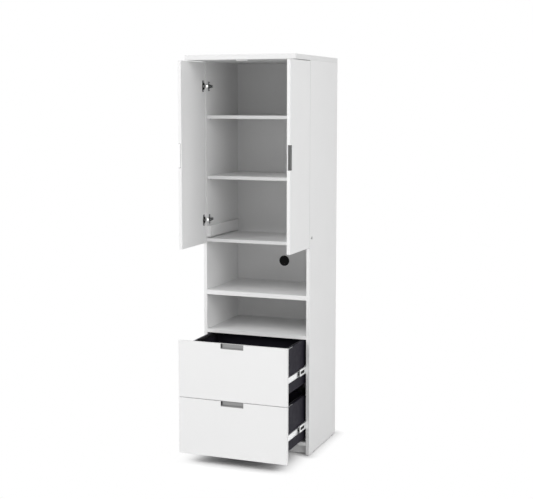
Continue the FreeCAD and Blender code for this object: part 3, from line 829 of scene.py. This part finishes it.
# the outline carried from the front end of the member's node to its back end; only the middle member has
# the window
def memberShell(size, member, node):
    web, opens, depth, lip = size[member]
    length = lengthOf(node, "y")
    start, windowLength, windowHeight = size["window"]
    outline, outer, inner = channelOutline(lengthOf(node, "z"), depth, lip, size, windowHeight)
    stations, gaps = [0, length], ()
    if member == "middle":
        stations, gaps = [0, start, start + windowLength, length], [(1, outer, inner)]
    place = (web, starts(node, "y"), middleOf(node, "z"))
    return placed(carried(outline, stations), place, opens * xAxis, zAxis, yAxis), False, gaps


def makeSlideMembers(size, level):
    carriers = {"cabinet": "carcass", "middle": level + "_slide_middle", "drawer": level + "_drawer"}
    for member, body in carriers.items():
        node = f"{level}_slide_{member}_members"
        rows, ring, gaps = memberShell(size, member, node)
        makePiece(level + "Slide" + member.capitalize(), body, "slide_steel",
                  [(rows, ring, gaps), (mirrored(rows), ring, gaps)], [node], size["softEdge"])


def makeSlideScrews(size, level):
    node = level + "_slide_drawer_members"
    spots = [(starts(node, "y") + along, 0.0) for along in size["screwsAlong"]]
    place = (boxSide - size["sheet"], 0.0, middleOf(node, "z"))
    heads = screwsAt(place, yAxis, zAxis, -xAxis, spots, size["screwScale"])
    makePiece(level + "SlideScrews", level + "_drawer", "zinc_steel", bothSides(heads))


# a black strip inside each middle member, drawn as its ball cage: painted shade seen through the window
def makeCageShadeStrips(size, level):
    node = level + "_slide_middle_members"
    near = size["middle"][0] + size["sheet"] + size["cageGap"]
    far, half = near + size["cageThickness"], size["cageHalf"]
    strip = rounded([(near, -half), (far, -half), (far, half), (near, half)], size["cageRound"], steps=3)
    place = (0.0, starts(node, "y"), middleOf(node, "z"))
    cage = placed(carried(strip, size["cageReach"]), place, xAxis, zAxis, yAxis)
    makePiece(level + "SlideCageShade", level + "_slide_middle", "black_plastic", bothSides([cage]))


for level in levels:
    makeSlideMembers(slide, level)
    makeSlideScrews(slide, level)
    makeCageShadeStrips(slide, level)
print("drawer slides made")

runner = {
    "sheet": 1.0, "outerBend": 1.3, "innerBend": 0.3, "lipEdge": 0.25, "softEdge": 0.1,
    # member: body, web x, way it opens, depth, lip
    "cabinet": ("carcass", innerSide, 1, 8.6, 1.6),
    "shelf": ("pull_out", starts("pull_out_shelf", "x"), -1, 8.6, 1.0),
}


def makeRunners(size):
    for member in ("cabinet", "shelf"):
        body, web, opens, depth, lip = size[member]
        node = f"shelf_runner_{member}_members"
        markHeight = size["sheet"]         # the window's marks are there, but no window is cut
        outline = channelOutline(lengthOf(node, "z"), depth, lip, size, markHeight)[0]
        place = (web, starts(node, "y"), middleOf(node, "z"))
        rows = placed(carried(outline, (0, lengthOf(node, "y"))), place, opens * xAxis, zAxis, yAxis)
        makePiece(member + "Runners", body, "slide_steel", bothSides([rows]), [node], size["softEdge"])


makeRunners(runner)

rail = {
    "sheet": 1.2, "reach": 9.0, "skirt": 20.0, "upstand": 8.0,
    "outerBend": 1.6, "innerBend": 0.4, "edge": 0.4, "softEdge": 0.12,
}


# a folded strip: a skirt on the box's wall, a ledge, and an upstand that carries the hanging files
def makeRails(size):
    wall = ends("lower_box_left_side", "x")
    t, x0, x1 = size["sheet"], wall, wall + size["reach"]
    low, ledge = -size["skirt"], -size["upstand"]
    corners = [(x0, low), (x0 + t, low), (x0 + t, ledge - t), (x1, ledge - t), (x1, 0), (x1 - t, 0),
               (x1 - t, ledge), (x0, ledge)]
    edge, inner, outer = size["edge"], size["innerBend"], size["outerBend"]
    section = rounded(corners, (edge, edge, inner, outer) * 2, steps=4)
    for level in levels:
        node = level + "_file_rails"
        place = (0.0, starts(node, "y"), ends(node, "z"))
        rows = placed(carried(section, (0, lengthOf(node, "y"))), place, xAxis, zAxis, yAxis)
        makePiece(level + "FileRails", level + "_drawer", "black_steel", bothSides([rows]), [node],
                  size["softEdge"])


makeRails(rail)

clip = {
    "wide": 10.0, "shoulder": 85.0, "length": 145.0, "tip": 4.0, "thickness": 1.6, "round": 1.2,
    "fromOutside": 0.4, "fromFront": 0.55, "softEdge": 0.2,
}


# a tapered steel strip on the top edge of each box side, where the side meets the drawer's front; it is
# partly a painted highlight of the lit edge, its taper the highlight fading into shade
def makeHighlightClips(size):
    outline = rounded([
        (0, 0), (size["wide"], 0), (size["wide"], size["shoulder"]), (size["tip"], size["length"]),
        (0, size["length"]),
    ], size["round"])
    for level in levels:
        side = level + "_box_left_side"
        corner = (-boxSide - size["fromOutside"], starts(side, "y") + size["fromFront"], ends(side, "z"))
        rows = placed(carried(outline, (0, size["thickness"])), corner, -xAxis, yAxis, zAxis)
        makePiece(level + "FrontHighlightClips", level + "_drawer", "zinc_steel", bothSides([rows]),
                  softEdge=size["softEdge"])


makeHighlightClips(clip)
print("shelf runners, file rails and clips made")

pin = {
    "radius": 2.5, "inside": 9.0, "outside": 8.0, "collar": 4.0, "collarWidth": 1.5, "edge": 0.5,
    "steps": 28, "ys": (-12.25, 319.75), "shelves": ("lower_shelf", "upper_shelf"),
}


# a turned pin with a collar; its top is flattened where the shelf lies on it
def makePins(size):
    r, collar, wide, e = size["radius"], size["collar"], size["collarWidth"], size["edge"]
    inside, outside = size["inside"], size["outside"]
    profile = [
        (poleRadius, -inside), (r - e, -inside), (r, -inside + e), (r, 0.0),
        (collar - e, 0.0), (collar, e), (collar, wide - e), (collar - e, wide), (r, wide),
        (r, outside - e), (r - e, outside), (poleRadius, outside),
    ]
    whole = turned(profile, size["steps"])
    shells = []
    for y in size["ys"]:
        for shelf in size["shelves"]:
            underside = starts(shelf, "z")
            rows = placed(whole, (innerSide, y, underside - r), yAxis, zAxis, xAxis)
            rows[..., 2] = np.minimum(rows[..., 2], underside)
            shells.append(rows)
    makePiece("shelfPins", "carcass", "zinc_steel", bothSides(shells), ["shelf_pins"])


makePins(pin)

foot = {
    "radius": 8.5, "height": 5.0, "steps": 32, "x": 296.0, "ys": (32.75, 347.75),
    # from the floor up: share of the radius, share of the height
    "profile": ((0.70, 0.0), (0.88, 0.06), (0.97, 0.2), (1.0, 0.42), (1.0, 0.78), (0.93, 0.94),
                (0.84, 1.0)),
}


def makeFeet(size):
    profile = [(r * size["radius"], h * size["height"]) for r, h in size["profile"]]
    rows = turned([(poleRadius, 0.0), *profile, (poleRadius, size["height"])], size["steps"])
    places = [(x, y, 0.0) for x in (-size["x"], size["x"]) for y in size["ys"]]
    makePiece("roundGlides", "carcass", "black_plastic", [rows + place for place in places], ["glides"])


makeFeet(foot)

outlet = {
    "z": 987.0, "face": starts("cable_outlet_ring", "y"),
    "bore": 25.0, "sleeve": 27.0, "flange": 30.0, "steps": 56,
    "ringRounds": (0.8, 1.2, 0.2, 0.2, 0.3, 0.3),
    "cap": 24.8, "capThickness": 2.5, "slotHalf": 8.0, "slotTop": -15.0, "slotRound": 3.0, "softEdge": 0.4,
    "leafWide": 9.5, "leafTop": -12.5, "leafRim": 24.5, "leafThickness": 0.8, "leafGap": 0.2,
    "leafRound": 0.6, "leafSteps": 8,
}


def makeOutletRing(size):
    face, front, back = size["face"], starts("back_panel", "y"), ends("back_panel", "y")
    bore, sleeve, flange = size["bore"], size["sleeve"], size["flange"]
    section = rounded([
        (bore, face), (flange, face), (flange, front), (sleeve, front), (sleeve, back), (bore, back),
    ], size["ringRounds"], steps=4)
    rows = placed(turned(section, size["steps"]), (0.0, 0.0, size["z"]), xAxis, zAxis, yAxis)
    makePiece("outletRing", "carcass", "black_plastic", [(rows, True, ())], ["cable_outlet_ring"])


# the lid's outline runs round from one side of its slot to the other and back over the slot's top
def makeOutletLid(size):
    start = math.asin(size["slotHalf"] / size["cap"]) - math.pi / 2
    t = np.linspace(start, math.pi - start, size["steps"])
    rim = np.stack([size["cap"] * np.cos(t), size["cap"] * np.sin(t)], -1)
    slot = [(-size["slotHalf"], size["slotTop"]), (size["slotHalf"], size["slotTop"])]
    lid = rounded(np.concatenate([rim, slot]), [0] * len(rim) + [size["slotRound"]] * 2)
    place = (0.0, size["face"], size["z"])
    rows = placed(carried(lid, (0, size["capThickness"])), place, xAxis, zAxis, yAxis)
    makePiece("outletLid", "carcass", "black_plastic", [rows], ["cable_outlet_cap"], size["softEdge"])


# two soft black leaves behind the slot, with a slit between them for cables, as painted shade for the dark
# behind the back panel; along their lower edge x^2 + z^2 = rim^2
def makeOutletShadeLeaves(size):
    x = np.linspace(size["leafGap"], size["leafWide"], size["leafSteps"])
    edge = np.stack([x, -np.sqrt(size["leafRim"] ** 2 - x**2)], -1)
    top = [(size["leafWide"], size["leafTop"]), (size["leafGap"], size["leafTop"])]
    leaf = rounded(np.concatenate([edge, top]), [0] * len(edge) + [size["leafRound"]] * 2)
    place = (0.0, size["face"] + size["capThickness"], size["z"])
    rows = placed(carried(leaf, (0, size["leafThickness"])), place, xAxis, zAxis, yAxis)
    makePiece("outletShadeLeaves", "carcass", "black_plastic", bothSides([rows]))


makeOutletRing(outlet)
makeOutletLid(outlet)
makeOutletShadeLeaves(outlet)

boreRim = {
    "y": -29.25, "z": 1177.0, "bore": 6.0, "outer": 7.6, "height": 0.6, "steps": 40,
    "rounds": (0.1, 0.1, 0.4, 0.2),
}


# a thin ring round each joining bore
def makeBoreRings(size):
    bore, outer, height = size["bore"], size["outer"], size["height"]
    section = rounded([(bore, 0.0), (outer, 0.0), (outer, height), (bore, height)], size["rounds"], steps=4)
    place = (ends("right_side_panel", "x"), size["y"], size["z"])
    rows = placed(turned(section, size["steps"]), place, yAxis, zAxis, xAxis)
    makePiece("boreRings", "carcass", "black_plastic", [(rows, True, ()), (mirrored(rows), True, ())])


makeBoreRings(boreRim)

magnet = {
    "middles": (-15.5, 15.5), "half": (8.7, 1.6), "heights": (0.15, 1.0), "round": 0.5, "softEdge": 0.1,
}


# bare magnet faces in the pockets of the catch; their heights count from its underside
def makeMagnets(size):
    a, b = size["half"]
    bar = rounded([(-a, -b), (a, -b), (a, b), (-a, b)], size["round"], steps=4)
    underside = starts("magnetic_catch", "z")
    rows = carried(bar, [underside + height for height in size["heights"]])
    places = [(x, middleOf("magnetic_catch", "y"), 0.0) for x in size["middles"]]
    makePiece("catchMagnets", "carcass", "zinc_steel", [rows + place for place in places],
              softEdge=size["softEdge"])


makeMagnets(magnet)

cover = {
    "radius": 8.8, "height": 0.8, "rimShare": 0.25, "innerShare": 0.02, "rings": 8, "steps": 36,
    "fromCorner": 24.0,                    # from the corner of the boards to the cover's middle
    "ys": (-2.25, 327.75), "boards": ("bottom_panel", "drawer_bay_shelf", "niche_shelf"),
}


# white caps over the cams, domed: height at r = rim + (height - rim) * (1 - (r / radius)^4)
def makeCovers(size):
    share = np.linspace(1, size["innerShare"], size["rings"])
    rim = size["rimShare"]
    dome = np.stack([size["radius"] * share, size["height"] * (rim + (1 - rim) * (1 - share**4))], -1)
    rows = turned(np.concatenate([[(poleRadius, 0.0), (size["radius"], 0.0)], dome]), size["steps"])
    camX, topZ = innerSide + size["fromCorner"], starts("top_panel", "z") - size["fromCorner"]
    undersides = [starts(board, "z") for board in size["boards"]]
    shells = []
    for y in size["ys"]:
        shells += [placed(rows, (camX, y, z), xAxis, yAxis, -zAxis) for z in undersides]
        shells.append(placed(rows, (innerSide, y, topZ), yAxis, zAxis, xAxis))
    makePiece("camCovers", "carcass", "white_plastic", bothSides(shells))


makeCovers(cover)
print("pins, glides, outlet, bore rings, magnets and cam covers made")
